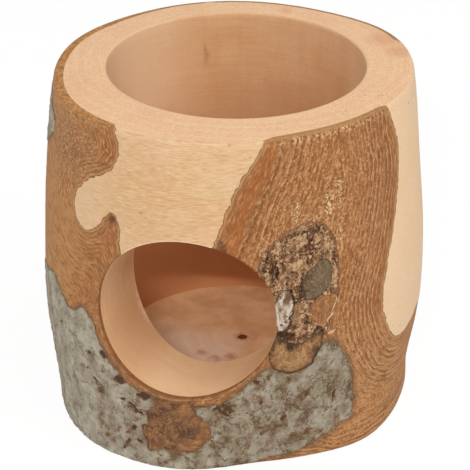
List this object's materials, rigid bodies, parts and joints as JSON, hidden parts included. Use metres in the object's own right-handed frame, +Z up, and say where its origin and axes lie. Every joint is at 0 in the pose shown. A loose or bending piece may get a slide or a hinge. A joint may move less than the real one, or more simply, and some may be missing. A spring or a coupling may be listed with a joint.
{
  "type": "log hideout",
  "caption": "Short log bored out from its top end and through its side, with patches of bark left on its sanded face, as a nest and hiding place for a small pet.",
  "frame": {"origin": "on the base plane, where the axis of the bore meets it", "axes": "+Z up along the bore, -Y out of the entrance, +X to the right of someone who looks into the entrance"},
  "size_m": [0.1352, 0.1371, 0.124],
  "materials": {
    "sapwood": "sanded bare wood",
    "pith": "soft dark core",
    "inner_bark": "sanded inner bark in thin layers",
    "outer_bark": "rough dry bark",
    "knot_bark": "rough bark round a dead branch",
    "dead_wood": "weathered end of a dead branch"
  },
  "bodies": {
    "root": {"log_body": "sapwood", "pith": "pith", "inner_bark_left": "inner_bark", "inner_bark_right": "inner_bark", "inner_bark_back": "inner_bark", "outer_bark_left": "outer_bark", "outer_bark_front": "outer_bark", "outer_bark_back": "outer_bark", "outer_bark_rim": "outer_bark", "knot_stub": "dead_wood", "knot_collar": "knot_bark", "knot_flake": "outer_bark", "knot_lip": "knot_bark", "knot_scale": "inner_bark"}
  },
  "joints": []
}
